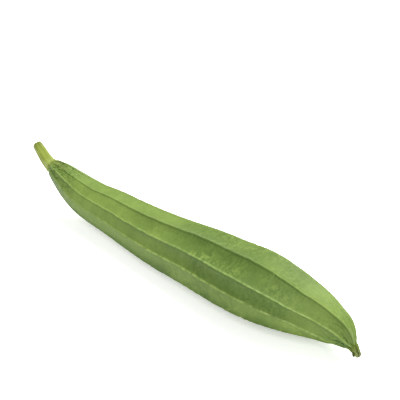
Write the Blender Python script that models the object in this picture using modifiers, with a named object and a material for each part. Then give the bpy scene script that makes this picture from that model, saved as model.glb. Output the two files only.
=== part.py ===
"""A ridge gourd lying on its belly, with its cut stalk and the withered flower at its tip.

Metres, +Z up. +X runs from the stalk to the blossom end, and the gourd lies on z = 0. Each piece starts as a turned
spindle, and its rings are then carried along the gourd's own curved line. A station is a place along a piece, from
0 at its stalk end to 1 at its other end.
Run it with: blender --background --python part.py
"""

import math

import bpy
import numpy as np

# Fruit: its length, and its line and thickness as (station, size) pairs
FRUIT_LENGTH = 0.300
CREST_RADIUS = [
    (0.00, 0.0069), (0.04, 0.0110), (0.10, 0.0152), (0.20, 0.0182), (0.35, 0.0209), (0.50, 0.0237),
    (0.65, 0.0265), (0.78, 0.0266), (0.87, 0.0213), (0.93, 0.0158), (0.97, 0.0113), (1.00, 0.0042),
]
UNDERSIDE_HEIGHT = [
    (0.00, 0.0299), (0.12, 0.0103), (0.28, 0.0035), (0.42, 0.0002), (0.57, 0.0000), (0.72, 0.0002),
    (0.84, 0.0026), (0.93, 0.0067), (1.00, 0.0066),
]
SWAY = [
    (0.00, 0.0035), (0.06, 0.0028), (0.25, 0.0025), (0.50, -0.0002), (0.75, -0.0014), (0.90, 0.0025),
    (1.00, 0.0044),
]

# Ridges, in degrees from the near side upwards: each one's angle at mid length, its drift over the whole length,
# and how far it curls round the narrowing tip
RIDGES = [
    (-77, 0, -8), (-32, 8, -20), (6.5, -9, -22), (35.5, -13, 6), (71, -1, 13), (115, 12, 12), (149, 0, 4),
    (181, 3, 0), (214, -3, 0), (247, 0, -4),
]
RIDGE_CURL_START = 0.86
TWIST = [(0.00, 0), (0.30, 1.5), (0.60, 6), (0.85, -2), (1.00, -11)]
RIDGE_HEIGHT = 0.0012
RIDGE_WIDTH = 0.0011
RIDGE_LEFT_AT_ENDS = 0.35
RIDGE_FADE = 0.06
FACE_HOLLOW = 0.022
RESTING_RIDGE_TILT = 20
FLAT_SPOT_DEPTH = 0.0008

# Stalk: it goes on from the fruit's neck and bends upwards
STALK_LENGTH = 0.0245
STALK_RADIUS = [(0.00, 0.0057), (0.15, 0.0053), (0.40, 0.0049), (0.75, 0.0044), (1.00, 0.0038)]
STALK_RISE = 19
STALK_SWING = -7.5
STALK_CORNERS = 5
STALK_CORNER_DEPTH = 0.07
STALK_CUT_ROUNDING = 0.0006

# Withered flower: a ribbed core and the dry sepals round it
FLOWER_LENGTH = 0.0078
FLOWER_RADIUS = [(0.00, 0.0040), (0.25, 0.0036), (0.60, 0.0027), (1.00, 0.0018)]
FLOWER_RISE = -14
FLOWER_SWING = -8
FLOWER_CORNERS = 5
FLOWER_CORNER_DEPTH = 0.10
FLOWER_END_ROUNDING = 0.0004
SEPAL_COUNT = 5
SEPAL_LENGTHS = (0.0050, 0.0060, 0.0066, 0.0052, 0.0046)
SEPAL_FLARES = (0.0022, 0.0002, 0.0005, 0.0003, 0.0006)
SEPAL_FIRST_BEARING = 5
SEPAL_START = 0.0012
SEPAL_ROOT_RADIUS = 0.0030
SEPAL_TIP_RADIUS = 0.0017
SEPAL_WIDTH = 0.0025
SEPAL_THICKNESS = 0.0010
SEPAL_PROFILE_SPAN = (0.12, 0.92)
SEPAL_BLUNTNESS = 0.6

# How soon a stalk or flower turns away from its root's direction
BEND_SHARPNESS = 4

# Gap between pieces that touch, and how finely each is divided
GAP = 0.0003
MERGE = 0.00001
FACE_COLUMNS = (0.0, 0.07, 0.28, 0.5, 0.72, 0.93)
FRUIT_RINGS = 64
FRUIT_RING_CROWDING = 0.55
STALK_RINGS = 14
STALK_SIDES = 20
FLOWER_RINGS = 9
FLOWER_SIDES = 20
SEPAL_RINGS = 7
SEPAL_SIDES = 8
ROUNDING_STEPS = (0.0, 0.35, 0.7, 0.92)
LINE_STEPS = 64
SHARP_ANGLE = 45

# Colours and roughness
FRUIT_GREEN = (0.23, 0.36, 0.08, 1.0)
FRUIT_ROUGHNESS = 0.45
STALK_GREEN = (0.36, 0.42, 0.10, 1.0)
STALK_ROUGHNESS = 0.55
WITHERED_OLIVE = (0.16, 0.18, 0.05, 1.0)
WITHERED_ROUGHNESS = 0.8


def along(pairs, station):
    """A smooth curve through (station, size) pairs, read at each station: a cubic between neighbours."""
    at, size = np.array(pairs, float).T
    slope = np.gradient(size, at)
    i = np.clip(np.searchsorted(at, station) - 1, 0, len(at) - 2)
    step = at[i + 1] - at[i]
    t = (station - at[i]) / step
    rise = 3 * t**2 - 2 * t**3
    ends = (t - 1) ** 2 * t * step * slope[i] + (t - 1) * t**2 * step * slope[i + 1]
    return size[i] * (1 - rise) + size[i + 1] * rise + ends


def fruit_line(station):
    """Points of the fruit's centre line: over the surface by its underside height and its resting radius."""
    resting_radius = math.cos(math.radians(RESTING_RIDGE_TILT)) * along(CREST_RADIUS, station)
    height = along(UNDERSIDE_HEIGHT, station) + resting_radius
    return np.stack([(station - 0.5) * FRUIT_LENGTH, along(SWAY, station), height], axis=-1)


def level_frame(forward):
    """Unit vectors along a line, to its near side and upwards, from the line's direction."""
    forward = forward / np.linalg.norm(forward, axis=-1, keepdims=True)
    side = np.cross(forward, (0.0, 0.0, 1.0))
    side /= np.linalg.norm(side, axis=-1, keepdims=True)
    return forward, side, np.cross(side, forward)


def fruit_frame(station):
    """The level frame of the fruit's line at each station."""
    step = 0.002
    ahead = fruit_line(np.clip(station + step, 0, 1))
    behind = fruit_line(np.clip(station - step, 0, 1))
    return level_frame(ahead - behind)


def ring_points(centre, side, up, radius, angle):
    """Points round a line: a radius from its centre, at an angle from the near side upwards."""
    outward = np.cos(angle)[:, None] * side + np.sin(angle)[:, None] * up
    return centre + radius[:, None] * outward


def turned(name, radii, lengths, sides, collection):
    """A closed spindle: a profile run down from z = 0, closed on the axis, turned about Z by a Screw modifier."""
    profile = [(0.0, 0.0, -lengths[0])]
    profile += [(radius, 0.0, -length) for radius, length in zip(radii, lengths)]
    profile += [(0.0, 0.0, -lengths[-1])]
    mesh = bpy.data.meshes.new(name)
    mesh.from_pydata(profile, [(i, i + 1) for i in range(len(profile) - 1)], [])
    spindle = bpy.data.objects.new(name, mesh)
    collection.objects.link(spindle)
    screw = spindle.modifiers.new("Turn", "SCREW")
    screw.axis = "Z"
    screw.steps = screw.render_steps = sides
    screw.use_merge_vertices = True
    screw.merge_threshold = MERGE
    apply_modifiers(spindle)
    return spindle


def apply_modifiers(piece):
    """Keep the evaluated mesh and drop the modifiers that made it."""
    graph = bpy.context.evaluated_depsgraph_get()
    piece.data = bpy.data.meshes.new_from_object(piece.evaluated_get(graph))
    piece.modifiers.clear()


def reshape(piece, place):
    """Move all points of a turned piece at once, to where place(length, angle, radius) puts them."""
    points = np.empty(3 * len(piece.data.vertices))
    piece.data.vertices.foreach_get("co", points)
    x, y, z = points.reshape(-1, 3).T
    angle = np.arctan2(y, x) % math.tau
    piece.data.vertices.foreach_set("co", place(-z, angle, np.hypot(x, y)).ravel())
    piece.data.update()


def finish(piece, colour, roughness):
    """Smooth shading with sharp ridges, and the piece's own material."""
    piece.data.shade_smooth()
    piece.data.set_sharp_from_angle(angle=math.radians(SHARP_ANGLE))
    material = bpy.data.materials.new(piece.name)
    material.use_nodes = True
    shader = material.node_tree.nodes["Principled BSDF"]
    shader.inputs["Base Color"].default_value = colour
    shader.inputs["Roughness"].default_value = roughness
    piece.data.materials.clear()
    piece.data.materials.append(material)


def place_on_fruit(station, turn, share):
    """Fruit's skin: flat faces from ridge to ridge, a little hollow, with a narrow crest raised on each ridge.

    turn counts faces round the fruit: its whole part is the face and the rest is the place across that face.
    """
    face = np.floor(turn).astype(int) % len(RIDGES)
    across = turn % 1.0
    middle, drift, curl = np.array(RIDGES, float).T
    sizes = np.diff(np.append(middle, middle[0] + 360))
    following = (face + 1) % len(RIDGES)
    own_drift = drift[face] * (1 - across) + drift[following] * across
    own_curl = curl[face] * (1 - across) + curl[following] * across
    curled = np.clip((station - RIDGE_CURL_START) / (1 - RIDGE_CURL_START), 0, 1)
    curled = curled**2 * (3 - 2 * curled)
    swing = own_drift * (station - 0.5) + own_curl * curled + along(TWIST, station)
    angle = middle[face] + across * sizes[face] + swing
    half = np.radians(sizes[face]) / 2

    crest = along(CREST_RADIUS, station)
    from_end = np.minimum(station, 1 - station) / RIDGE_FADE
    fade = RIDGE_LEFT_AT_ENDS + (1 - RIDGE_LEFT_AT_ENDS) * np.clip(from_end, 0, 1)
    corner = crest - RIDGE_HEIGHT * fade
    flat = corner * np.cos(half) / np.cos((2 * across - 1) * half)
    hollow = FACE_HOLLOW * corner * np.sin(math.pi * across)
    from_crest = np.minimum(across, 1 - across) * 2 * half * corner
    raised = RIDGE_HEIGHT * fade * np.exp(-((from_crest / RIDGE_WIDTH) ** 2))

    _, side, up = fruit_frame(station)
    radius = share * (flat - hollow + raised)
    return ring_points(fruit_line(station), side, up, radius, np.radians(angle))


def make_fruit(collection):
    """The fruit, from a turned spindle whose columns are gathered along the ridges."""
    even = np.linspace(0, 1, FRUIT_RINGS)
    stations = even - FRUIT_RING_CROWDING * np.sin(math.tau * even) / math.tau
    radii = along(CREST_RADIUS, stations)
    sides = len(RIDGES) * len(FACE_COLUMNS)
    fruit = turned("fruit", radii, stations * FRUIT_LENGTH, sides, collection)

    def place(length, angle, radius):
        station = np.clip(length / FRUIT_LENGTH, 0, 1)
        column = np.rint(angle / math.tau * sides).astype(int)
        turn = column // len(FACE_COLUMNS) + np.array(FACE_COLUMNS)[column % len(FACE_COLUMNS)]
        return place_on_fruit(station, turn, radius / along(CREST_RADIUS, station))

    reshape(fruit, place)
    return fruit


def bent_line(start, forward, length, rise, swing, distance):
    """Centre and level frame of a line that starts out forward and turns by rise and swing, most at its root."""
    heading = math.atan2(forward[1], forward[0])
    climb = math.atan2(forward[2], math.hypot(forward[0], forward[1]))
    fine = np.linspace(0, length, LINE_STEPS + 1)

    def direction(at):
        turned_by = 1 - (1 - at / length) ** BEND_SHARPNESS
        headings = heading + math.radians(swing) * turned_by
        climbs = climb + math.radians(rise) * turned_by
        level = np.cos(climbs)
        return np.stack([level * np.cos(headings), level * np.sin(headings), np.sin(climbs)], axis=-1)

    middles = direction((fine[1:] + fine[:-1]) / 2) * (fine[1] - fine[0])
    walked = np.vstack([np.zeros(3), np.cumsum(middles, axis=0)])
    centre = np.stack([np.interp(distance, fine, walked[:, k]) for k in range(3)], axis=-1)
    _, side, up = level_frame(direction(distance))
    return start + centre, side, up


def blunt_profile(radius_pairs, length, rings, rounding):
    """Radii and lengths of the rings of a piece of that length, with the rim of its far end rounded off."""
    stations = np.linspace(0, 1 - 2 * rounding / length, rings)
    radii = list(along(radius_pairs, stations))
    lengths = list(stations * length)
    end_radius = radius_pairs[-1][1]
    radii += [end_radius - rounding * (1 - math.sqrt(1 - t**2)) for t in ROUNDING_STEPS]
    lengths += [length - rounding * (1 - t) for t in ROUNDING_STEPS]
    return radii, lengths


def make_stalk(collection):
    """The cut stalk: flared onto the fruit's neck, faintly five-cornered, blunt at its cut end."""
    radii, lengths = blunt_profile(STALK_RADIUS, STALK_LENGTH, STALK_RINGS, STALK_CUT_ROUNDING)
    stalk = turned("stalk", radii, lengths, STALK_SIDES, collection)
    forward, _, _ = fruit_frame(np.zeros(1))
    start = fruit_line(np.zeros(1))[0] - GAP * forward[0]

    def place(length, angle, radius):
        centre, side, up = bent_line(start, -forward[0], STALK_LENGTH, STALK_RISE, STALK_SWING, length)
        cornered = radius * (1 + STALK_CORNER_DEPTH * np.cos(STALK_CORNERS * angle))
        return ring_points(centre, side, up, cornered, angle)

    reshape(stalk, place)
    return stalk


def make_flower(collection, sepals):
    """The withered flower: a tapering ribbed core with dry sepals laid along it, joined into one body."""
    radii, lengths = blunt_profile(FLOWER_RADIUS, FLOWER_LENGTH, FLOWER_RINGS, FLOWER_END_ROUNDING)
    flower = turned("withered_flower", radii, lengths, FLOWER_SIDES, collection)
    forward, _, _ = fruit_frame(np.ones(1))
    start = fruit_line(np.ones(1))[0] + GAP * forward[0]

    def place_core(length, angle, radius):
        centre, side, up = bent_line(start, forward[0], FLOWER_LENGTH, FLOWER_RISE, FLOWER_SWING, length)
        cornered = radius * (1 + FLOWER_CORNER_DEPTH * np.cos(FLOWER_CORNERS * angle))
        return ring_points(centre, side, up, cornered, angle)

    reshape(flower, place_core)
    for number in range(SEPAL_COUNT):
        make_sepal(number, start, forward[0], sepals)
    join = flower.modifiers.new("Sepals", "BOOLEAN")
    join.operation = "UNION"
    join.operand_type = "COLLECTION"
    join.collection = sepals
    apply_modifiers(flower)
    for sepal in list(sepals.objects):
        bpy.data.objects.remove(sepal)
    return flower


def make_sepal(number, start, forward, collection):
    """One dry sepal: a flattened spindle rooted in the core, which draws in or flares out towards its tip."""
    reach = SEPAL_LENGTHS[number]
    bearing = math.tau * number / SEPAL_COUNT + math.radians(SEPAL_FIRST_BEARING)
    stations = np.linspace(0, 1, SEPAL_RINGS)
    fullness = np.sin(math.pi * np.interp(stations, (0, 1), SEPAL_PROFILE_SPAN)) ** SEPAL_BLUNTNESS
    sepal = turned(f"sepal_{number}", fullness, stations * reach, SEPAL_SIDES, collection)

    def place(length, angle, radius):
        tip_radius = SEPAL_TIP_RADIUS + SEPAL_FLARES[number]
        axis = SEPAL_ROOT_RADIUS + (tip_radius - SEPAL_ROOT_RADIUS) * length / reach
        away = axis + radius * SEPAL_THICKNESS / 2 * np.cos(angle)
        across = radius * SEPAL_WIDTH / 2 * np.sin(angle)
        distance = SEPAL_START + length
        centre, side, up = bent_line(start, forward, FLOWER_LENGTH, FLOWER_RISE, FLOWER_SWING, distance)
        outward = math.cos(bearing) * side + math.sin(bearing) * up
        sideways = -math.sin(bearing) * side + math.cos(bearing) * up
        return centre + away[:, None] * outward + across[:, None] * sideways

    reshape(sepal, place)


def cut_flat_spot(fruit, cutters):
    """Take the lowest skin off the two ridges that the fruit lies on, level with z = 0."""
    bpy.ops.mesh.primitive_cube_add(size=1.0, location=(0, 0, -0.5))
    cutter = bpy.context.object
    cutter.name = "flat_spot_cutter"
    for holder in cutter.users_collection:
        holder.objects.unlink(cutter)
    cutters.objects.link(cutter)
    cutter.hide_render = True
    cutter.display_type = "WIRE"
    cut = fruit.modifiers.new("Flat spot", "BOOLEAN")
    cut.operation = "DIFFERENCE"
    cut.object = cutter


def stand_at_origin(pieces, fruit):
    """Shift every piece so that the whole sits over the origin, with the fruit's lowest skin under z = 0."""
    corners = [np.array([v.co for v in piece.data.vertices]) for piece in pieces]
    low = np.min([c.min(axis=0) for c in corners], axis=0)
    high = np.max([c.max(axis=0) for c in corners], axis=0)
    lowest_skin = min(v.co.z for v in fruit.data.vertices)
    shift = -(low + high) / 2
    shift[2] = -lowest_skin - FLAT_SPOT_DEPTH
    for piece, points in zip(pieces, corners):
        piece.data.vertices.foreach_set("co", (points + shift).ravel())
        piece.data.update()


def new_collection(name):
    collection = bpy.data.collections.new(name)
    bpy.context.scene.collection.children.link(collection)
    return collection


def main():
    for thing in list(bpy.data.objects):
        bpy.data.objects.remove(thing)
    parts = new_collection("ridge_gourd")
    cutters = new_collection("cutters")
    sepals = new_collection("sepals")

    fruit = make_fruit(parts)
    stalk = make_stalk(parts)
    flower = make_flower(parts, sepals)
    bpy.data.collections.remove(sepals)
    stand_at_origin([fruit, stalk, flower], fruit)
    cut_flat_spot(fruit, cutters)
    finish(fruit, FRUIT_GREEN, FRUIT_ROUGHNESS)
    finish(stalk, STALK_GREEN, STALK_ROUGHNESS)
    finish(flower, WITHERED_OLIVE, WITHERED_ROUGHNESS)


main()
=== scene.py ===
"""Ridge gourd: the finished skin, stalk and dry flower, laid out as a Blender add-on and run as a script.

A station is a place along a piece, from 0 at its root to 1 at its far end. The fruit's root is its stalk end.
A turn counts the fruit's faces from ridge to ridge, so its whole part is the face and the rest is the place
across it.
"""

import math

import bpy
import numpy as np
from bpy.props import FloatProperty, FloatVectorProperty, IntProperty, PointerProperty
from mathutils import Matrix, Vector


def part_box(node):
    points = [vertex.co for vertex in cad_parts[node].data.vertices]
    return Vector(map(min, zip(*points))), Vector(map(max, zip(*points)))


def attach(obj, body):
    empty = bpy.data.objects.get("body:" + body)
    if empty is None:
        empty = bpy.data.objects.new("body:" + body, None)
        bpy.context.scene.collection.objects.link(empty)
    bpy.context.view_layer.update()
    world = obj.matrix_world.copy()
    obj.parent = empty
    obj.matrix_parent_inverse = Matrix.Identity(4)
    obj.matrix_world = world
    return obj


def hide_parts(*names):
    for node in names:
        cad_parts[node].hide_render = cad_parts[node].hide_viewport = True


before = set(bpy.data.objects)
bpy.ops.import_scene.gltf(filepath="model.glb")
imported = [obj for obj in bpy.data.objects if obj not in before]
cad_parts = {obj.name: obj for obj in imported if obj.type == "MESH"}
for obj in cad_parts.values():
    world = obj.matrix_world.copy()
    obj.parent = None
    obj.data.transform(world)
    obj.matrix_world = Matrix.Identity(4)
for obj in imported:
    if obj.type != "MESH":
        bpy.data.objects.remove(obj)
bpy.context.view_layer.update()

bl_info = {
    "name": "Ridge Gourd",
    "version": (1, 0, 0),
    "blender": (4, 5, 0),
    "location": "View3D > Sidebar > Gourd",
    "description": "Builds a ridge gourd with its cut stalk and withered flower",
    "category": "Add Mesh",
}

# The fruit's line and thickness, as (station, size in metres) pairs
CREST_RADIUS = [
    (0.00, 0.0069), (0.04, 0.0110), (0.10, 0.0152), (0.20, 0.0182), (0.35, 0.0209), (0.50, 0.0237),
    (0.65, 0.0265), (0.78, 0.0266), (0.87, 0.0213), (0.93, 0.0158), (0.97, 0.0113), (1.00, 0.0042),
]
UNDERSIDE_HEIGHT = [
    (0.00, 0.0299), (0.12, 0.0103), (0.28, 0.0035), (0.42, 0.0002), (0.57, 0.0000), (0.72, 0.0002),
    (0.84, 0.0026), (0.93, 0.0067), (1.00, 0.0066),
]
SWAY = [
    (0.00, 0.0035), (0.06, 0.0028), (0.25, 0.0025), (0.50, -0.0002), (0.75, -0.0014), (0.90, 0.0025),
    (1.00, 0.0044),
]

# Each ridge's bearing from the near side upwards, its drift from end to end and its curl at the tip, and the
# twist of them all along the fruit, in degrees
RIDGES = [
    (-77, 0, -8), (-32, 8, -20), (6.5, -9, -22), (35.5, -13, 6), (71, -1, 13), (115, 12, 12),
    (149, 0, 4), (181, 3, 0), (214, -3, 0), (247, 0, -4),
]
RIDGE_CURL_START = 0.86
TWIST = [(0.00, 0), (0.30, 1.5), (0.60, 6), (0.85, -2), (1.00, -11)]

# The tilt of the ridges that the fruit rests on, how the ridges die away over the last stations at both ends,
# and the girth that the skin's ripples close round
RESTING_RIDGE_TILT = 20
RIDGE_LEFT_AT_ENDS = 0.35
RIDGE_FADE = 0.06
MEAN_GIRTH = 0.140

# How yellow and pale the skin is, as (station, share) pairs, and for each face what it adds to that, how much
# this rises along the fruit, and how strongly the face is mottled. Besides the skin's own yellowing towards
# the ends, these shares hold painted light and shade: the low shares along the middle paint a shadow cast
# there, and the faces' shares paint part of how brightly each face is lit.
PALENESS_AND_PAINTED_SHADE = [
    (0.00, 0.72), (0.12, 0.80), (0.24, 0.97), (0.34, 0.88), (0.44, 0.63), (0.56, 0.36), (0.66, 0.12),
    (0.76, 0.20), (0.86, 0.45), (0.94, 0.92), (1.00, 1.00),
]
FACE_TONES = [
    (0.20, 0.75, 0.6), (0.20, 0.75, 0.6), (-0.02, -0.60, 0.3), (0.02, -0.48, 1.0), (0.00, 0.00, 0.7),
    (0.05, 0.00, 0.8), (-0.05, 0.10, 1.0), (0.04, -0.10, 0.7), (-0.05, 0.10, 1.0), (0.05, 0.00, 0.7),
]

# The seeded ripples of the skin: seed, shortest and longest wave in metres, and how many waves are summed
SKIN_RIPPLES = {
    "wobble": (3, 0.007, 0.03, 28),
    "lumps": (5, 0.012, 0.045, 28),
    "net": (7, 0.0022, 0.0042, 40),
    "netted": (9, 0.02, 0.07, 28),
    "notches": (11, 0.0018, 0.009, 28),
    "warts": (13, 0.0016, 0.005, 40),
    "furrows": (15, 0.01, 0.03, 28),
    "patches": (17, 0.02, 0.08, 28),
    "tongues": (19, 0.003, 0.009, 28),
}

# The zones along the fruit: the stations where each is 0 and where it is whole
SKIN_ZONES = {
    "cut_end": (0.012, 0.0),
    "seamed": (0.02, 0.06),
    "rough": (0.12, 0.02),
    "shoulder": (0.15, 0.03),
    "calm": (0.48, 0.12),
    "bulging": (0.65, 0.25),
    "mottled": (0.49, 0.57),
    "mottled_before": (0.92, 0.78),
    "evened": (0.60, 0.85),
    "low_ridges": (0.70, 0.88),
    "thin_ridges": (0.74, 0.90),
    "lit_below": (0.84, 0.90),
    "blossom": (0.90, 0.985),
    "underfold": (0.91, 0.95),
    "gathered": (0.965, 0.992),
    "blossom_end": (0.99, 1.0),
}

# The finer sizes of the skin: widths as shares of a ridge's half width, and depths in metres
BROAD_WIDTH = 2.6
FOOT_WIDTH = 0.85
CORD_WIDTH = 0.45
SEAM_PLACE = 0.9
SEAM_WIDTH = 0.24
# Where the crests' painted highlight lies beside the crest, and how wide it is
CREST_HIGHLIGHT_PLACE = -0.4
CREST_HIGHLIGHT_WIDTH = 0.5
CREST_WOBBLE = 0.0001
SEAM_DEPTH = 0.0001
FURROW_DEPTH = 0.00035
FURROWS_PER_FACE = 2.5
NOTCH_SHIFT = 0.37

# How the solid fruit is divided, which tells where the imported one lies
SOLID_COLUMNS = (0.0, 0.07, 0.28, 0.5, 0.72, 0.93)
SOLID_RINGS = 64
SOLID_CROWDING = 0.55

# The skin's noises: how many waves to a metre, the detail and the roughness of each
SKIN_NOISES = {
    "mottles": (280.0, 4.0, 0.7),
    "broad_mottles": (150.0, 2.0, 0.6),
    "fine_mottles": (950.0, 2.0, 0.6),
    "streaks": (850.0, 3.0, 0.55),
}

# How strongly each colour is laid over the skin, as a share. The shade below the ridges and underneath and
# the darkening of the furrows are painted shade, the seams' darkening is part real line and part painted
# shade, and the crests' pale lines are painted highlights.
SKIN_TINTS = {
    "tone": 0.20,
    "painted_shade_under_ridges": 0.15,
    "underside": 0.55,
    "mottles": 0.16,
    "netted_mottles": 0.55,
    "broad_mottles": 0.32,
    "fine_mottles": 0.22,
    "bumps": 0.55,
    "furrows": 0.35,
    "specks": 0.80,
    "seam_lines_and_shade": 0.85,
    "crests": 0.55,
}

# The specular levels of the gourd and of the floor
SKIN_SHEEN = 0.18
FLOOR_SHEEN = 0.1

# How finely the new pieces are divided
SKIN_RINGS = 392
SKIN_CROWDING = 0.35
SKIN_FACE_COLUMNS = 24
SKIN_COLUMN_CROWDING = 0.78
LINE_STEPS = 64

# The stalk, as (station, size in metres) pairs and degrees of bend
STALK_RADIUS = [(0.00, 0.0057), (0.15, 0.0053), (0.40, 0.0049), (0.75, 0.0044), (1.00, 0.0038)]
STALK_RISE = 19
STALK_SWING = -7.5
STALK_SINK = 0.0014
STALK_GRID = (110, 96)
STALK_CORNERS = 5
STALK_SEED = 21
CUT_BEVEL = 0.0011

# The flower and its sepals, in the same way
FLOWER_RADIUS = [(0.00, 0.0040), (0.25, 0.0036), (0.60, 0.0027), (1.00, 0.0018)]
FLOWER_RISE = -14
FLOWER_SWING = -8
FLOWER_SINK = 0.0016
FLOWER_GRID = (80, 96)
FLOWER_RIBS = 5
FLOWER_SEED = 31
SEPAL_LENGTHS = (0.0050, 0.0060, 0.0066, 0.0052, 0.0046)
SEPAL_FLARES = (0.0022, 0.0002, 0.0005, 0.0003, 0.0006)
SEPAL_FIRST_BEARING = 5
SEPAL_START = 0.0010
SEPAL_HALF_WIDTH = 0.00135
SEPAL_HALF_THICKNESS = 0.00042
SEPAL_GRID = (40, 32)
SEPAL_SEED = 41

# How sharply the stalk and the flower bend at their roots, and their gap to the fruit
BEND_SHARPNESS = 4
GAP = 0.0003

# The camera looks from where the photograph was taken, with the fruit's line for its X axis
CAMERA_AZIMUTH = 41.74
CAMERA_ELEVATION = 32.0
CAMERA_DISTANCE = 0.79414
CAMERA_AIM = (0.014792, 0.0, 0.073412)
CAMERA_LENS = 100
CAMERA_SENSOR = 36

# The floor's half width, and the soft lights' places and sizes in metres
FLOOR_HALF = 6.0
KEY_PLACE = (0.1, 0.7, 1.4)
KEY_SIZE = 1.4
FRONT_PLACE = (0.45, -0.9, 1.1)
FRONT_SIZE = 0.8


def colour_property(name, description, default):
    """A colour that the user may change, in scene-linear light."""
    return FloatVectorProperty(
        name=name, description=description, default=default, subtype="COLOR", size=3, min=0, max=1
    )


def length_property(name, description, default):
    """A length in metres that the user may change."""
    return FloatProperty(
        name=name, description=description, default=default, unit="LENGTH", precision=5, min=0
    )


def power_property(name, description, default):
    """A light's strength that the user may change."""
    return FloatProperty(name=name, description=description, default=default, min=0)


class FruitSettings(bpy.types.PropertyGroup):
    length: length_property("Length", "Length of the fruit along its line", 0.300)
    ridge_height: length_property("Ridge height", "How far a crest stands over the flat faces", 0.0012)
    ridge_width: length_property("Ridge width", "Half width of a ridge at its foot", 0.0011)
    face_hollow: FloatProperty(
        name="Face hollow", description="How far a face sinks, as a share of its radius", default=0.022
    )
    lump_height: length_property("Lumps", "Height of the broad lumps on the faces", 0.00022)
    pore_height: length_property("Pores", "Depth of the fine net of pores", 0.00016)
    flesh: colour_property("Skin", "Mid green of the faces", (0.079, 0.133, 0.024))
    # The deep green is also laid as painted shade below the ridges, underneath and in the furrows.
    deep: colour_property("Deep green", "Green of the specks and of the ridges' feet", (0.035, 0.077, 0.007))
    pale: colour_property("Pale flecks", "Pale green of the mottles", (0.185, 0.258, 0.056))
    # The paler ends' colour is also laid where painted light makes the skin paler.
    ends: colour_property("Paler ends", "Yellower green towards both ends", (0.162, 0.237, 0.048))
    neck: colour_property("Olive neck", "Olive on top of the neck", (0.117, 0.129, 0.028))
    # The crests' pale colour is laid as a painted highlight.
    crest: colour_property("Crests", "Pale line along the upper side of a ridge", (0.238, 0.322, 0.088))
    collar: colour_property("Collar", "Pale green that runs in from the stalk", (0.234, 0.289, 0.066))


class StalkSettings(bpy.types.PropertyGroup):
    length: length_property("Length", "Length of the cut stalk", 0.0245)
    corner_depth: FloatProperty(name="Corner depth", description="Share of the radius", default=0.07)
    flesh: colour_property("Stalk", "Yellow-green of the stalk", (0.191, 0.234, 0.031))
    shaded: colour_property("Cut end", "Olive of the dried cut end", (0.105, 0.133, 0.014))
    root: colour_property("Root", "Pale green where it leaves the fruit", (0.234, 0.289, 0.066))


class FlowerSettings(bpy.types.PropertyGroup):
    length: length_property("Length", "Length of the withered flower", 0.0078)
    sepals: IntProperty(name="Sepals", description="Dry sepals round the core", default=5, min=3, max=8)
    olive: colour_property("Olive", "Dull green of the dry tube", (0.094, 0.129, 0.017))
    straw: colour_property("Straw", "Pale brown of the dry edges", (0.234, 0.266, 0.102))
    # The crease colour darkens the tube between its ribs as painted shade.
    crease_shade: colour_property("Creases", "Dark olive between the ribs", (0.031, 0.047, 0.008))
    withered: colour_property("Withered end", "Grey brown of the far end", (0.156, 0.160, 0.078))


class StageSettings(bpy.types.PropertyGroup):
    floor: colour_property("Floor", "Plain pale floor", (0.94, 0.94, 0.94))
    key_power: power_property("Key light", "Power in watts", 44.0)
    front_power: power_property("Front light", "Power in watts", 9.0)
    fill: power_property("Fill", "Strength of the even light from all round", 0.44)
    floor_glow: power_property("Floor glow", "How strongly the floor itself glows", 0.42)


def along(pairs, station):
    """A smooth curve through (station, size) pairs, read at each station: a cubic between neighbours."""
    at, size = np.array(pairs, float).T
    slope = np.gradient(size, at)
    i = np.clip(np.searchsorted(at, station) - 1, 0, len(at) - 2)
    step = at[i + 1] - at[i]
    t = (station - at[i]) / step
    rise = 3 * t**2 - 2 * t**3
    ends = (t - 1) ** 2 * t * step * slope[i] + (t - 1) * t**2 * step * slope[i + 1]
    return size[i] * (1 - rise) + size[i + 1] * rise + ends


def fade(value, start, end):
    """0 at start and 1 at end, with an eased ramp between them; start may be the larger."""
    t = np.clip((value - start) / (end - start), 0, 1)
    return t * t * (3 - 2 * t)


def ripple(seed, distance, turn_share, shortest, longest, girth, waves=28):
    """Smooth noise of about unit height that closes round a piece.

    It is a sum of seeded sine waves over the distance along the piece and the share of a turn round it, each
    with a whole number of waves round the girth.
    """
    draw = np.random.default_rng(seed)
    total = np.zeros(np.broadcast(distance, turn_share).shape)
    for _ in range(waves):
        wavelength = longest * (shortest / longest) ** draw.random()
        heading = draw.uniform(0, math.pi)
        across = round(math.cos(heading) * girth / wavelength)
        lengthwise = math.sin(heading) / wavelength
        total += np.sin(math.tau * (lengthwise * distance + across * turn_share + draw.random()))
    return total / math.sqrt(waves / 2)


def level_frame(forward):
    """Unit vectors along a line, to its near side and upwards, from the line's direction."""
    forward = forward / np.linalg.norm(forward, axis=-1, keepdims=True)
    side = np.cross(forward, (0.0, 0.0, 1.0))
    side /= np.linalg.norm(side, axis=-1, keepdims=True)
    return forward, side, np.cross(side, forward)


def fruit_line(station, length):
    """Points of the fruit's centre line: over the surface by its underside height and its resting radius."""
    resting_radius = math.cos(math.radians(RESTING_RIDGE_TILT)) * along(CREST_RADIUS, station)
    height = along(UNDERSIDE_HEIGHT, station) + resting_radius
    return np.stack([(station - 0.5) * length, along(SWAY, station), height], axis=-1)


def fruit_frame(station, length):
    """The level frame of the fruit's line at each station, from two points a little before and after it."""
    step = 0.002
    ahead = fruit_line(np.clip(station + step, 0, 1), length)
    behind = fruit_line(np.clip(station - step, 0, 1), length)
    return level_frame(ahead - behind)


def ring_points(centre, side, up, radius, angle):
    """Points round a line: a radius from its centre, at an angle from the near side upwards."""
    outward = np.cos(angle)[..., None] * side + np.sin(angle)[..., None] * up
    return centre + radius[..., None] * outward


def crowded(count, crowding):
    """Even steps from 0 to 1, drawn together towards both ends by a sine."""
    even = np.linspace(0, 1, count)
    return even - crowding * np.sin(math.tau * even) / math.tau


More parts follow.
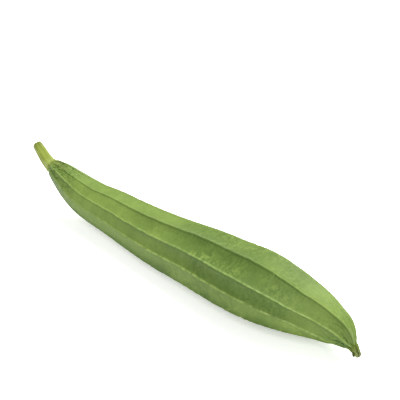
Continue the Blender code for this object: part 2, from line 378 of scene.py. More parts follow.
def fruit_section(station, turn, settings):
    """Angle round the fruit, plain radius, and arc distance to the nearest crest.

    The faces run flat from ridge to ridge and sink a little; the crest is added by the caller.
    """
    face = np.floor(turn).astype(int) % len(RIDGES)
    across = turn % 1.0
    middle, drift, curl = np.array(RIDGES, float).T
    sizes = np.diff(np.append(middle, middle[0] + 360))
    following = (face + 1) % len(RIDGES)
    own_drift = drift[face] * (1 - across) + drift[following] * across
    own_curl = curl[face] * (1 - across) + curl[following] * across
    curled = own_curl * fade(station, RIDGE_CURL_START, 1)
    swing = own_drift * (station - 0.5) + curled + along(TWIST, station)
    angle = middle[face] + across * sizes[face] + swing
    half = np.radians(sizes[face]) / 2
    ridge = settings.ridge_height * ridge_fade(station)
    corner = along(CREST_RADIUS, station) - ridge
    flat = corner * np.cos(half) / np.cos((2 * across - 1) * half)
    hollow = settings.face_hollow * corner * np.sin(math.pi * across)
    from_crest = np.minimum(across, 1 - across) * 2 * half * corner
    return np.radians(angle), flat - hollow, from_crest


def ridge_fade(station):
    """Share of the ridges' height: whole along the body and less at both ends."""
    from_end = np.minimum(station, 1 - station) / RIDGE_FADE
    return RIDGE_LEFT_AT_ENDS + (1 - RIDGE_LEFT_AT_ENDS) * np.clip(from_end, 0, 1)


def solid_high_corner(settings):
    """Highest corner of the solid fruit before it was centred, from the rings and columns that made it."""
    station, column = np.meshgrid(
        crowded(SOLID_RINGS, SOLID_CROWDING), np.arange(len(RIDGES) * len(SOLID_COLUMNS)), indexing="ij"
    )
    turn = column // len(SOLID_COLUMNS) + np.array(SOLID_COLUMNS)[column % len(SOLID_COLUMNS)]
    angle, radius, from_crest = fruit_section(station, turn, settings)
    raised = np.exp(-((from_crest / settings.ridge_width) ** 2))
    radius = radius + settings.ridge_height * ridge_fade(station) * raised
    _, side, up = fruit_frame(station, settings.length)
    corners = ring_points(fruit_line(station, settings.length), side, up, radius, angle)
    return corners.reshape(-1, 3).max(axis=0)


def centring(settings):
    """The shift from the fruit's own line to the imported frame: what makes the two highest corners meet."""
    return np.array(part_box("fruit")[1]) - solid_high_corner(settings)


def tube_mesh(name, grid, shares, masks):
    """A closed surface from a grid of points, rings by columns, with a point closing each end.

    shares are the stations of the rings. The UV map holds the station and the share of a turn, and each mask
    in masks becomes a point attribute. The station's direction crossed with the angle's points outwards.
    """
    rings, columns = grid.shape[:2]
    ends = [grid[0].mean(axis=0), grid[-1].mean(axis=0)]
    points = np.vstack([grid.reshape(-1, 3), ends])
    ring, column = np.meshgrid(np.arange(rings - 1), np.arange(columns), indexing="ij")
    after = (column + 1) % columns
    near, far = ring * columns, (ring + 1) * columns
    quads = np.stack([near + column, far + column, far + after, near + after], axis=-1).reshape(-1, 4)
    here = np.arange(columns)
    there = (here + 1) % columns
    last = (rings - 1) * columns
    first_cap = np.stack([np.full(columns, rings * columns), here, there], axis=-1)
    last_cap = np.stack([np.full(columns, rings * columns + 1), last + there, last + here], axis=-1)
    mesh = bpy.data.meshes.new(name)
    mesh.from_pydata(points.tolist(), [], quads.tolist() + first_cap.tolist() + last_cap.tolist())

    along_u = np.stack([shares[ring], shares[ring + 1], shares[ring + 1], shares[ring]], axis=-1)
    around_v = np.stack([column, column, column + 1, column + 1], axis=-1) / columns
    quad_uv = np.stack([along_u, around_v], axis=-1).reshape(-1, 2)
    cap_v = np.stack([here + 0.5, here, here + 1], axis=-1).reshape(-1) / columns
    caps = [np.stack([np.full(3 * columns, shares[k]), cap_v], axis=-1) for k in (0, -1)]
    layer = mesh.uv_layers.new(name="Skin")
    layer.data.foreach_set("uv", np.vstack([quad_uv] + caps).ravel())
    for mask, values in masks.items():
        closed = np.concatenate([values.ravel(), [values[0].mean(), values[-1].mean()]])
        mesh.attributes.new(mask, "FLOAT", "POINT").data.foreach_set("value", closed)
    mesh.shade_smooth()
    return mesh


def add_piece(name, mesh, material, replaced=None):
    """Link a finished mesh, give it its finish and its body, and let it stand for a solid node."""
    piece = bpy.data.objects.new(name, mesh)
    bpy.context.scene.collection.objects.link(piece)
    mesh.materials.append(material)
    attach(piece, "root")
    if replaced:
        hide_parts(replaced)
    return piece


def bent_line(start, forward, length, rise, swing, distance):
    """Centre and level frame of a line that starts forward and turns by rise and swing, most at its root."""
    heading = math.atan2(forward[1], forward[0])
    climb = math.atan2(forward[2], math.hypot(forward[0], forward[1]))
    fine = np.linspace(-0.2 * length, 1.2 * length, LINE_STEPS + 1)

    def direction(at):
        turned_by = 1 - (1 - np.clip(at / length, 0, 1)) ** BEND_SHARPNESS
        headings = heading + math.radians(swing) * turned_by
        climbs = climb + math.radians(rise) * turned_by
        level = np.cos(climbs)
        return np.stack([level * np.cos(headings), level * np.sin(headings), np.sin(climbs)], axis=-1)

    middles = direction((fine[1:] + fine[:-1]) / 2) * (fine[1] - fine[0])
    walked = np.vstack([np.zeros(3), np.cumsum(middles, axis=0)])
    zero = np.array([np.interp(0.0, fine, walked[:, k]) for k in range(3)])
    centre = np.stack([np.interp(distance, fine, walked[:, k]) for k in range(3)], axis=-1) - zero
    _, side, up = level_frame(direction(distance))
    return start + centre, side, up


class SkinSpots:
    """What the skin's formulas read at each of its spots, as arrays of one shape.

    angle is the bearing with a little wobble, and height and facing are its sine and cosine. from_crest is
    the arc distance to the nearest crest, and downhill is the same with the side below the crest positive.
    fallen is how far down its face a spot lies, from 0 at the upper ridge to 1 at the lower one. width is the
    half width of a ridge, which is less towards both ends.
    """

    def __init__(self, station, turn, settings):
        self.station = station
        self.turn = turn
        self.across = turn % 1.0
        self.share = turn / len(RIDGES)
        self.distance = station * settings.length
        self.radius = along(CREST_RADIUS, station)
        angle, self.plain, self.from_crest = fruit_section(station, turn, settings)
        self.angle = angle + CREST_WOBBLE * self.ripple("wobble") / self.radius
        self.height = np.sin(self.angle)
        self.facing = np.cos(self.angle)
        self.downhill = np.where(self.across < 0.5, -1, 1) * np.sign(self.facing) * self.from_crest
        self.fallen = np.where(self.facing > 0, 1 - self.across, self.across)
        of_face = np.array(FACE_TONES, float)[np.floor(turn).astype(int)]
        self.tone, self.tone_rise, self.mottling = np.moveaxis(of_face, -1, 0)
        self.calm = self.zone("calm")
        self.width = settings.ridge_width * (1 - 0.40 * self.calm - 0.30 * self.zone("thin_ridges"))
        self.foot = self.bell(FOOT_WIDTH)
        self.face = 1 - self.foot
        self.warts = self.ripple("warts")
        self.notches = self.ripple("notches", share=NOTCH_SHIFT * (np.rint(turn) % len(RIDGES)))

    def ripple(self, name, stretch=1.0, share=None):
        """One of the skin's seeded ripples, drawn out along the fruit by 1 over stretch."""
        seed, shortest, longest, waves = SKIN_RIPPLES[name]
        share = self.share if share is None else share
        return ripple(seed, stretch * self.distance, share, shortest, longest, MEAN_GIRTH, waves)

    def zone(self, name):
        """How far each spot is into one of the zones along the fruit."""
        return fade(self.station, *SKIN_ZONES[name])

    def bell(self, width):
        """A bell over the distance from the crest, 1 on it."""
        return np.exp(-((self.from_crest / (width * self.width)) ** 2))

    def line(self, place, width):
        """A bell over the downhill distance, which makes a line at that place beside the crest."""
        return np.exp(-(((self.downhill / self.width - place) / width) ** 2))


class GOURD_OT_fruit(bpy.types.Operator):
    """Grow the ribbed fruit with its crests, lumps, net of pores and rough shoulder"""

    bl_idname = "gourd.fruit"
    bl_label = "Fruit skin"

    def execute(self, context):
        settings = context.scene.gourd_fruit
        stations = crowded(SKIN_RINGS, SKIN_CROWDING)
        across = crowded(SKIN_FACE_COLUMNS + 1, SKIN_COLUMN_CROWDING)[:-1]
        turns = (np.arange(len(RIDGES))[:, None] + across).ravel()
        station, turn = np.meshgrid(stations, turns, indexing="ij")
        points, masks = self.skin(station, turn, settings)
        points = points + centring(settings)
        points[..., 2] = np.maximum(points[..., 2], 0.0)
        mesh = tube_mesh("gourd_skin", points, stations, masks)
        add_piece("gourd_skin", mesh, skin_material(settings), "fruit")
        return {"FINISHED"}

    def skin(self, station, turn, settings):
        """Skin points and masks: the flat-sided section with the ridges added and the relief taken away."""
        spots = SkinSpots(station, turn, settings)
        sunk, marks = self.relief(spots, settings)
        _, side, up = fruit_frame(station, settings.length)
        centre = fruit_line(station, settings.length)
        radius = spots.plain + self.ridges(spots, settings) - sunk
        return ring_points(centre, side, up, radius, spots.angle), {**marks, **self.colour_masks(spots)}

    def ridges(self, spots, settings):
        """Height of the ridges over the flat section, which is less towards both ends.

        A ridge is three bells over the distance from its crest: a broad rise, a foot, and a narrow cord with
        notches along it.
        """
        lowered = np.maximum(0.65 * spots.calm, 0.45 * spots.zone("low_ridges"))
        ridge = settings.ridge_height * ridge_fade(spots.station) * (1 - lowered)
        cord = spots.bell(CORD_WIDTH) * (0.24 - 0.12 * np.clip(spots.notches + 0.4, 0, 2))
        return ridge * (0.40 * spots.bell(BROAD_WIDTH) + 0.36 * spots.foot + cord)

    def relief(self, spots, settings):
        """How far the skin sinks, and the masks of the marks that sink it.

        It sinks in broad lumps, a net of pores, a seam below each crest, hollows between the ridges and
        furrows at both ends, and it closes in at the ends themselves. Towards the stalk the faces bulge
        instead.
        """
        middle = np.sin(math.pi * spots.across)
        lumps = 0.5 + 0.3 * spots.ripple("lumps")
        net = np.abs(spots.ripple("net"))
        netted = fade(spots.ripple("netted"), -1.8, 0.8)
        netted = netted * (0.6 + 0.6 * spots.zone("mottled") * spots.zone("mottled_before"))
        seam = spots.line(SEAM_PLACE, SEAM_WIDTH) * spots.zone("seamed")
        furrows = np.sin(math.tau * (FURROWS_PER_FACE * spots.across + 0.3 * spots.ripple("furrows")))
        rough = np.clip(0.45 + 0.3 * furrows + 0.3 * spots.warts, 0, 1.2)
        rough = spots.face * spots.zone("rough") * rough
        underfold = spots.zone("underfold") * fade(spots.height, 0.35, 0.05)
        creased = np.clip(0.4 + 0.5 * furrows + 0.2 * spots.warts, 0, 1.2)
        creased = spots.face * spots.zone("blossom") * creased * (1 + 1.5 * underfold)

        sunk = spots.face * settings.lump_height * np.clip(lumps, 0, 1.4)
        sunk = sunk + spots.face * settings.pore_height * netted * np.clip(1 - 1.3 * net, 0, 1)
        sunk = sunk + SEAM_DEPTH * seam + FURROW_DEPTH * (rough + creased)
        hollow = 0.012 * spots.zone("shoulder") + 0.035 * spots.zone("blossom")
        bulge = 0.04 * spots.zone("bulging")
        closed = 0.15 * spots.zone("cut_end") + 0.1 * spots.zone("blossom_end")
        sunk = sunk + spots.radius * (middle * (hollow - bulge) + closed)

        mottling = spots.mottling * (0.45 + 0.75 * fade(spots.fallen, 0.2, 0.8))
        gathered = spots.zone("gathered") * fade(spots.height, 0.9, 0.5)
        marks = {
            # The seam mark is partly a real dark line and partly painted shade below each crest, less on
            # faces that look up.
            "seam": seam * (1 - 0.25 * fade(spots.height, 0.45, 0.9)),
            "net": mottling * netted * np.clip(net, 0, 1),
            # The furrows and blossom folds are darkened with painted shade, most on the lower side near the
            # tip.
            "furrow_shade": rough + creased * (1 + 5 * gathered),
        }
        return sunk, marks

    def colour_masks(self, spots):
        """Where the crests' painted highlights, the paler skin, the painted shade, the neck and the collar
        show.

        The painted highlight on the crests shows most low on the sides and not at all underneath. How pale
        the skin is comes from the station and the face, and painted light makes it less pale on faces that
        look down, with broad patches.
        """
        # The crests' pale line is a painted highlight; lit sets how strong it is on each side.
        lit = 1 + 0.8 * fade(spots.height, 0.5, 0.1) - 0.45 * fade(spots.height, 0.45, 0.9)
        lit = lit * fade(spots.height, -0.45, -0.15) * (1 - 0.5 * spots.calm)
        crest = spots.line(CREST_HIGHLIGHT_PLACE, CREST_HIGHLIGHT_WIDTH) * np.clip(0.8 - 0.35 * spots.notches, 0.35, 1.3)
        # Painted shade underneath the fruit, less towards the tip.
        below = fade(spots.height, -0.25, -0.55)
        pale = along(PALENESS_AND_PAINTED_SHADE, spots.station) + spots.tone + spots.tone_rise * (spots.station - 0.45)
        patches = spots.ripple("patches")
        # Painted light: faces that look up keep more of their pale share, evened out at the neck and towards
        # the tip.
        painted_top_light = np.clip(0.45 + 0.65 * spots.height, 0.2, 1)
        painted_top_light = painted_top_light + (1 - painted_top_light) * np.maximum(spots.zone("evened"), 0.7 * spots.calm)
        neck = fade(spots.station + 0.012 * patches, 0.08, 0.03)
        tongues = np.abs(spots.ripple("tongues", stretch=0.1)) + 0.3 * np.clip(spots.warts, -1, 1)
        return {
            "crest": crest * lit,
            # fallen drives the painted shade just below each upper ridge, less on the neck.
            "fallen": spots.fallen + (1 - spots.fallen) * 0.6 * spots.calm,
            "shoulder": spots.zone("shoulder"),
            "underside": below * (1 - 0.6 * spots.zone("lit_below")),
            "paleness_and_painted_light": np.clip(pale * painted_top_light + 0.12 * patches, 0, 1),
            "neck": neck * fade(spots.height, 0.90, 0.97),
            "collar": fade(spots.station, 0.008 + 0.010 * tongues, 0.002 + 0.006 * tongues),
        }


def round_grid(root, size):
    """Stations from a piece's root to its far end, by even shares of a turn."""
    rings, columns = size
    return np.meshgrid(np.linspace(root, 1, rings), np.arange(columns) / columns, indexing="ij")


class GOURD_OT_stalk(bpy.types.Operator):
    """Grow the cut stalk out of the fruit's neck"""

    bl_idname = "gourd.stalk"
    bl_label = "Cut stalk"

    def execute(self, context):
        settings = context.scene.gourd_stalk
        root = -STALK_SINK / settings.length
        station, share = round_grid(root, STALK_GRID)
        radius = self.radius(station, share, root, settings)
        points = self.place(station, share, radius, settings, context.scene.gourd_fruit)
        masks = {"cut": fade(station, 0.60, 1.0), "neck": fade(station, 0.30, 0.05)}
        mesh = tube_mesh("cut_stalk", points, station[:, 0], masks)
        add_piece("cut_stalk", mesh, stalk_material(settings), "stalk")
        return {"FINISHED"}

    def radius(self, station, share, root, settings):
        """The stalk's radius: a taper with shallow corners and fibres, a full root and a bevelled cut."""
        taper = along(STALK_RADIUS, np.clip(station, 0, 1)) * (1 - 0.25 * fade(station, 0, root))
        distance = station * settings.length
        fibres = ripple(STALK_SEED, 0.12 * distance, share, 0.0009, 0.004, math.tau * 0.0038)
        corners = np.cos(STALK_CORNERS * math.tau * share) - 0.3
        ribbed = taper * (1 + settings.corner_depth * corners - 0.012 * (1 + fibres))
        rim = fade(station, 0.955, 1.0) ** 3
        return ribbed * (1 + 0.05 * fade(station, 0.10, 0)) - CUT_BEVEL * rim

    def place(self, station, share, radius, settings, fruit):
        """Points round the stalk's line, which leaves the fruit's neck and climbs."""
        distance = station * settings.length
        forward, _, _ = fruit_frame(np.zeros(1), fruit.length)
        start = fruit_line(np.zeros(1), fruit.length)[0] - GAP * forward[0] + centring(fruit)
        centre, side, up = bent_line(start, -forward[0], settings.length, STALK_RISE, STALK_SWING, distance)
        return ring_points(centre, side, up, radius, share * math.tau)


class GOURD_OT_flower(bpy.types.Operator):
    """Grow the withered flower at the blossom end, with its dry sepals"""

    bl_idname = "gourd.flower"
    bl_label = "Withered flower"

    def execute(self, context):
        settings = context.scene.gourd_flower
        fruit = context.scene.gourd_fruit
        material = flower_material(settings)
        self.tube(settings, fruit, material)
        for number in range(settings.sepals):
            self.sepal(number, settings, fruit, material)
        return {"FINISHED"}

    def place(self, distance, angle, radius, settings, fruit):
        """Points round the flower's line, which leaves the fruit's tip and droops."""
        forward, _, _ = fruit_frame(np.ones(1), fruit.length)
        start = fruit_line(np.ones(1), fruit.length)[0] + GAP * forward[0] + centring(fruit)
        centre, side, up = bent_line(start, forward[0], settings.length, FLOWER_RISE, FLOWER_SWING, distance)
        return ring_points(centre, side, up, radius, angle)

    def tube(self, settings, fruit, material):
        """The dry tube: a taper with crumples and with rounded ribs, from a sine of the angle."""
        station, share = round_grid(-FLOWER_SINK / settings.length, FLOWER_GRID)
        angle = share * math.tau
        distance = station * settings.length
        taper = along(FLOWER_RADIUS, np.clip(station, 0, 1))
        ribs = np.abs(np.sin(FLOWER_RIBS / 2 * angle + 0.8 * station)) ** 0.6
        crumple = ripple(FLOWER_SEED, distance, share, 0.0009, 0.004, math.tau * 0.0025)
        radius = taper * (0.80 + 0.20 * ribs - 0.05 * np.clip(crumple + 0.6, 0, 2))
        points = self.place(distance, angle, radius, settings, fruit)
        masks = {"dry": station + 0 * share, "rib": ribs}
        mesh = tube_mesh("dry_flower", points, station[:, 0], masks)
        add_piece("dry_flower", mesh, material, "withered_flower")

    def sepal(self, number, settings, fruit, material):
        """One dry sepal: a flattened spindle whose middle lies on the tube and whose tip curls outwards.

        Its half width is a sine bell over its length, and its edges are bent in towards the tube.
        """
        reach = SEPAL_LENGTHS[number % len(SEPAL_LENGTHS)]
        flare = SEPAL_FLARES[number % len(SEPAL_FLARES)]
        station, share = round_grid(0, SEPAL_GRID)
        turn = share * math.tau
        distance = SEPAL_START + station * reach
        bearing = math.tau * number / settings.sepals + math.radians(SEPAL_FIRST_BEARING)
        full = np.sin(math.pi * (0.16 + 0.80 * station)) ** 0.7
        crumple = ripple(SEPAL_SEED + number, distance, share, 0.0010, 0.004, 0.008)
        across = SEPAL_HALF_WIDTH * full * np.sin(turn) * (1 + 0.15 * crumple)
        tube = along(FLOWER_RADIUS, np.clip(distance / settings.length, 0, 1))
        lift = flare * fade(station, 0.2, 1.0) - 0.0002 * fade(station, 0.3, 0.0)
        away = 0.78 * tube + lift + SEPAL_HALF_THICKNESS * full * np.cos(turn) + 0.0001 * crumple
        points = self.place(distance, bearing + across / tube, away, settings, fruit)
        masks = {"dry": 0.3 + 0.7 * station + 0 * share, "rib": np.abs(np.sin(turn)) ** 3}
        name = f"dry_sepal_{number + 1}"
        mesh = tube_mesh(name, points, station[:, 0], masks)
        add_piece(name, mesh, material)


def new_material(name, roughness):
    """A node material of the given roughness, and its Principled BSDF."""
    material = bpy.data.materials.new(name)
    material.use_nodes = True
    shader = material.node_tree.nodes["Principled BSDF"]
    shader.inputs["Roughness"].default_value = roughness
    shader.inputs["Specular IOR Level"].default_value = SKIN_SHEEN
    return material, shader


class NodeBench:
    """Adds and joins shader nodes in one tree, each call returning the output socket that it made."""

    def __init__(self, tree):
        self.tree = tree

    def add(self, kind, settings=None, **inputs):
        node = self.tree.nodes.new(kind)
        for key, value in (settings or {}).items():
            setattr(node, key, value)
        for key, value in inputs.items():
            self.feed(node.inputs[key.replace("_", " ")], value)
        return node

    def feed(self, socket, value):
        if isinstance(value, bpy.types.NodeSocket):
            self.tree.links.new(value, socket)
        else:
            socket.default_value = value

    def attribute(self, name):
        return self.add("ShaderNodeAttribute", {"attribute_name": name}).outputs["Fac"]

    def math(self, operation, first, second, clamp=False):
        node = self.add("ShaderNodeMath", {"operation": operation, "use_clamp": clamp})
        self.feed(node.inputs[0], first)
        self.feed(node.inputs[1], second)
        return node.outputs[0]

    def blend(self, share, first, second):
        node = self.add("ShaderNodeMix", {"data_type": "RGBA"})
        self.feed(node.inputs[0], share)
        self.feed(node.inputs[6], first if isinstance(first, bpy.types.NodeSocket) else (*first, 1.0))
        self.feed(node.inputs[7], second if isinstance(second, bpy.types.NodeSocket) else (*second, 1.0))
        return node.outputs[2]

    def tint(self, base, colour, mask, strength):
        """Lay a colour over another, as far as a mask times a strength says."""
        return self.blend(self.math("MULTIPLY", mask, strength, True), base, colour)

    def ramp(self, value, low, high):
        """0 below low and 1 above high, eased between them."""
        node = self.add("ShaderNodeMapRange", {"interpolation_type": "SMOOTHSTEP"})
        self.feed(node.inputs["Value"], value)
        self.feed(node.inputs["From Min"], low)
        self.feed(node.inputs["From Max"], high)
        return node.outputs["Result"]

    def noise(self, vector, scale, detail, roughness):
        node = self.add("ShaderNodeTexNoise", Vector=vector, Scale=scale, Detail=detail, Roughness=roughness)
        return node.outputs["Fac"]

    def object_place(self, stretch=(1.0, 1.0, 1.0)):
        place = self.add("ShaderNodeTexCoord").outputs["Object"]
        return self.add("ShaderNodeMapping", Vector=place, Scale=stretch).outputs["Vector"]

    def grain(self, vector, scale, fleck_size):
        """The shared plant grain, placed with its own sizes."""
        tree = {"node_tree": plant_grain_group()}
        node = self.add("ShaderNodeGroup", tree, Vector=vector, Scale=scale, Fleck_Size=fleck_size)
        return node.outputs

    def finish(self, shader, colour, height, strength, depth):
        """Feed a colour, and a bump of a given depth from a height, into a material's shader."""
        self.feed(shader.inputs["Base Color"], colour)
        bump = self.add("ShaderNodeBump", Strength=strength, Distance=depth, Height=height)
        self.feed(shader.inputs["Normal"], bump.outputs["Normal"])


def group_of(name, inputs, outputs):
    """An empty shader node group, with what its input node gives and what its output node takes."""
    tree = bpy.data.node_groups.new(name, "ShaderNodeTree")
    for socket, (kind, value) in inputs.items():
        made = tree.interface.new_socket(socket, in_out="INPUT", socket_type=kind)
        if value is not None:
            made.default_value = value
    for socket, kind in outputs.items():
        tree.interface.new_socket(socket, in_out="OUTPUT", socket_type=kind)
    return tree, tree.nodes.new("NodeGroupInput").outputs, tree.nodes.new("NodeGroupOutput").inputs


def plant_grain_group():
    """Fine living grain from noise: a height for bumps, a mask of small pale flecks and a broad tone."""
    found = bpy.data.node_groups.get("Plant Grain")
    if found:
        return found
    inputs = {
        "Vector": ("NodeSocketVector", None),
        "Scale": ("NodeSocketFloat", 900.0),
        "Fleck Size": ("NodeSocketFloat", 420.0),
        "Fleck Threshold": ("NodeSocketFloat", 0.55),
    }
    outputs = {"Height": "NodeSocketFloat", "Flecks": "NodeSocketFloat", "Tone": "NodeSocketFloat"}
    tree, given, made = group_of("Plant Grain", inputs, outputs)
    bench = NodeBench(tree)
    fine = bench.noise(given["Vector"], given["Scale"], 4.0, 0.6)
    flecks = bench.noise(given["Vector"], given["Fleck Size"], 2.0, 0.5)
    threshold = given["Fleck Threshold"]
    mask = bench.ramp(flecks, threshold, bench.math("ADD", threshold, 0.12))
    bench.feed(made["Height"], bench.math("ADD", fine, bench.math("MULTIPLY", mask, 0.35)))
    bench.feed(made["Flecks"], mask)
    bench.feed(made["Tone"], bench.noise(given["Vector"], 60.0, 3.0, 0.6))
    return tree


def skin_material(settings):
    """Green skin, from the fruit's masks and noise, with light and shade painted into its colour.

    In the order that they are laid: the pale share, which holds painted light, and broad tones, the neck,
    painted shade below the ridges and underneath, three sizes of mottles, the shoulder's bumps, the collar,
    specks and furrows darkened with painted shade, dark seam lines that are partly painted shade, and painted
    highlights along the crests.
    """
    material, shader = new_material("ridge_gourd_skin", 0.58)
    bench = NodeBench(material.node_tree)
    deep, pale = settings.deep, settings.pale
    place = bench.object_place((1.6, 1.0, 1.0))
    grain = bench.grain(place, 1300.0, 420.0)
    net, shoulder = bench.attribute("net"), bench.attribute("shoulder")

    # The pale mask holds the skin's yellowing together with painted light on the upper faces and a painted
    # shadow along the middle.
    green = bench.blend(bench.attribute("paleness_and_painted_light"), settings.flesh, settings.ends)
    green = bench.tint(green, deep, bench.ramp(grain["Tone"], 0.36, 0.64), SKIN_TINTS["tone"])
    green = bench.blend(bench.attribute("neck"), green, settings.neck)
    # Painted shade just below each upper ridge and underneath.
    painted_ridge_shade = bench.ramp(bench.attribute("fallen"), 0.5, 0.05)
    painted_ridge_shade = bench.math("MULTIPLY", painted_ridge_shade, SKIN_TINTS["painted_shade_under_ridges"])
    shade = bench.math("MULTIPLY", bench.attribute("underside"), SKIN_TINTS["underside"])
    green = bench.blend(bench.math("ADD", painted_ridge_shade, shade), green, deep)

    mottles = bench.ramp(bench.noise(place, *SKIN_NOISES["mottles"]), 0.40, 0.64)
    netted = bench.math("MULTIPLY", net, SKIN_TINTS["netted_mottles"])
    green = bench.tint(green, pale, mottles, bench.math("ADD", SKIN_TINTS["mottles"], netted))
    mottles = bench.ramp(bench.noise(place, *SKIN_NOISES["broad_mottles"]), 0.48, 0.60)
    green = bench.tint(green, pale, bench.math("MULTIPLY", mottles, net), SKIN_TINTS["broad_mottles"])
    mottles = bench.ramp(bench.noise(place, *SKIN_NOISES["fine_mottles"]), 0.35, 0.70)
    green = bench.tint(green, deep, mottles, SKIN_TINTS["fine_mottles"])

    streaks = bench.noise(bench.object_place((0.5, 1.0, 1.0)), *SKIN_NOISES["streaks"])
    specks = bench.math("MULTIPLY", bench.ramp(streaks, 0.50, 0.57), shoulder)
    bumps = bench.math("MULTIPLY", bench.ramp(streaks, 0.47, 0.36), shoulder)
    green = bench.tint(green, pale, bumps, SKIN_TINTS["bumps"])
    green = bench.blend(bench.attribute("collar"), green, settings.collar)
    # The furrows' darkening is painted shade in the creases; the specks on the shoulder are the skin's own.
    furrows = bench.math("MULTIPLY", bench.attribute("furrow_shade"), SKIN_TINTS["furrows"])
    green = bench.tint(green, deep, bench.math("MAXIMUM", specks, furrows), SKIN_TINTS["specks"])
    # Seam lines, darkened partly as a real line and partly as painted shade below each ridge.
    green = bench.tint(green, deep, bench.attribute("seam"), SKIN_TINTS["seam_lines_and_shade"])
    # Painted highlights along the crests.
    crests = bench.math("MULTIPLY", bench.attribute("crest"), bench.ramp(grain["Tone"], -0.20, 0.50))
    green = bench.tint(green, settings.crest, crests, SKIN_TINTS["crests"])

    roughness = bench.math("ADD", 0.52, bench.math("MULTIPLY", grain["Flecks"], 0.15))
    bench.feed(shader.inputs["Roughness"], roughness)
    bench.finish(shader, green, grain["Height"], 0.35, 0.0002)
    return material


def stalk_material(settings):
    """Yellow-green stalk: lengthwise fibres, drying to olive at the cut end."""
    material, shader = new_material("ridge_gourd_stalk", 0.5)
    bench = NodeBench(material.node_tree)
    grain = bench.grain(bench.object_place((0.4, 1.0, 0.6)), 1500.0, 900.0)
    flesh = bench.tint(settings.flesh, settings.shaded, bench.ramp(grain["Tone"], 0.3, 0.7), 0.3)
    flesh = bench.tint(flesh, settings.shaded, bench.attribute("cut"), 0.8)
    flesh = bench.blend(bench.attribute("neck"), flesh, settings.root)
    bench.finish(shader, flesh, grain["Height"], 0.4, 0.0002)
    return material


def flower_material(settings):
    """Dry flower: a dull olive tube with straw-coloured ribs and edges, painted shade darkening the creases,
    and a grey brown end.
    """
    material, shader = new_material("ridge_gourd_dry_flower", 0.75)
    bench = NodeBench(material.node_tree)
    grain = bench.grain(bench.object_place(), 1800.0, 700.0)
    rib, dry = bench.attribute("rib"), bench.attribute("dry")
    straw = bench.math("MULTIPLY", bench.ramp(rib, 0.35, 1.0), bench.ramp(dry, 0.0, 0.7))
    flesh = bench.tint(settings.olive, settings.straw, straw, 0.75)
    flesh = bench.tint(flesh, settings.withered, bench.ramp(dry, 0.75, 1.0), 0.7)
    # Painted shade where the rib value is low, between the ribs.
    flesh = bench.tint(flesh, settings.crease_shade, bench.ramp(rib, 0.6, 0.1), 0.7)
    bench.finish(shader, flesh, grain["Height"], 0.6, 0.0003)
    return material


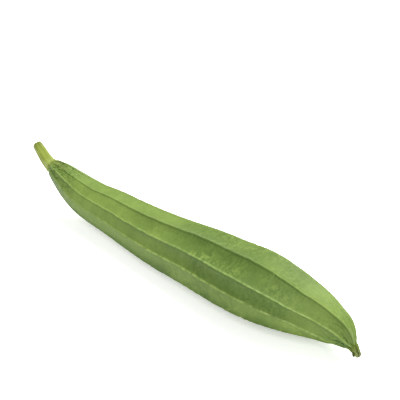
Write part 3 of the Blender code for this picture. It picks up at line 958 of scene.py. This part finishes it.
class GOURD_OT_stage(bpy.types.Operator):
    """Set the plain pale floor, the soft light and the camera at the photograph's viewing angle"""

    bl_idname = "gourd.stage"
    bl_label = "Stage"

    def execute(self, context):
        settings = context.scene.gourd_stage
        self.floor(context, settings)
        self.light(context, settings)
        self.camera(context)
        context.scene.view_settings.view_transform = "Standard"
        return {"FINISHED"}

    def floor(self, context, settings):
        mesh = bpy.data.meshes.new("floor")
        corners = [(x * FLOOR_HALF, y * FLOOR_HALF, 0) for x, y in ((-1, -1), (1, -1), (1, 1), (-1, 1))]
        mesh.from_pydata(corners, [], [(0, 1, 2, 3)])
        floor = bpy.data.objects.new("floor", mesh)
        context.scene.collection.objects.link(floor)
        material, shader = new_material("plain_floor", 0.9)
        shader.inputs["Base Color"].default_value = (*settings.floor, 1.0)
        shader.inputs["Specular IOR Level"].default_value = FLOOR_SHEEN
        shader.inputs["Emission Color"].default_value = (1.0, 1.0, 1.0, 1.0)
        shader.inputs["Emission Strength"].default_value = settings.floor_glow
        mesh.materials.append(material)

    def light(self, context, settings):
        world = bpy.data.worlds.new("soft_room")
        world.use_nodes = True
        world.node_tree.nodes["Background"].inputs["Color"].default_value = (1.0, 1.0, 1.0, 1.0)
        world.node_tree.nodes["Background"].inputs["Strength"].default_value = settings.fill
        context.scene.world = world
        self.softbox(context, "key_softbox", KEY_PLACE, KEY_SIZE, settings.key_power)
        self.softbox(context, "front_softbox", FRONT_PLACE, FRONT_SIZE, settings.front_power)

    def softbox(self, context, name, location, size, power):
        """A round soft light that faces the middle of the floor."""
        light = bpy.data.lights.new(name, "AREA")
        light.shape = "DISK"
        light.size = size
        light.energy = power
        lamp = bpy.data.objects.new(name, light)
        lamp.location = location
        lamp.rotation_euler = Vector(location).to_track_quat("Z", "Y").to_euler()
        context.scene.collection.objects.link(lamp)

    def camera(self, context):
        azimuth, elevation = math.radians(CAMERA_AZIMUTH), math.radians(CAMERA_ELEVATION)
        level = math.cos(elevation)
        back = Vector((math.sin(azimuth) * level, -math.cos(azimuth) * level, math.sin(elevation)))
        aim = Vector(CAMERA_AIM) + Vector(centring(context.scene.gourd_fruit))
        data = bpy.data.cameras.new("photo_camera")
        data.lens = CAMERA_LENS
        data.sensor_width = CAMERA_SENSOR
        camera = bpy.data.objects.new("photo_camera", data)
        camera.location = aim + back * CAMERA_DISTANCE
        camera.rotation_euler = back.to_track_quat("Z", "Y").to_euler()
        context.scene.collection.objects.link(camera)
        context.scene.camera = camera


class GOURD_PT_panel(bpy.types.Panel):
    """Lists the gourd's operators in the 3D view's sidebar"""

    bl_idname = "GOURD_PT_panel"
    bl_label = "Ridge gourd"
    bl_space_type = "VIEW_3D"
    bl_region_type = "UI"
    bl_category = "Gourd"

    def draw(self, context):
        for operator in OPERATORS:
            self.layout.operator(operator.bl_idname)
        for group in SETTINGS:
            box = self.layout.box()
            for name in SETTINGS[group].__annotations__:
                box.prop(getattr(context.scene, group), name)


SETTINGS = {
    "gourd_fruit": FruitSettings,
    "gourd_stalk": StalkSettings,
    "gourd_flower": FlowerSettings,
    "gourd_stage": StageSettings,
}
OPERATORS = (GOURD_OT_stage, GOURD_OT_fruit, GOURD_OT_stalk, GOURD_OT_flower)


def register():
    for cls in (*SETTINGS.values(), *OPERATORS, GOURD_PT_panel):
        bpy.utils.register_class(cls)
    for name, cls in SETTINGS.items():
        setattr(bpy.types.Scene, name, PointerProperty(type=cls))


def unregister():
    for name in SETTINGS:
        delattr(bpy.types.Scene, name)
    for cls in reversed((*SETTINGS.values(), *OPERATORS, GOURD_PT_panel)):
        bpy.utils.unregister_class(cls)


def main():
    register()
    bpy.ops.gourd.stage()
    bpy.ops.gourd.fruit()
    bpy.ops.gourd.stalk()
    bpy.ops.gourd.flower()


if __name__ == "__main__":
    main()
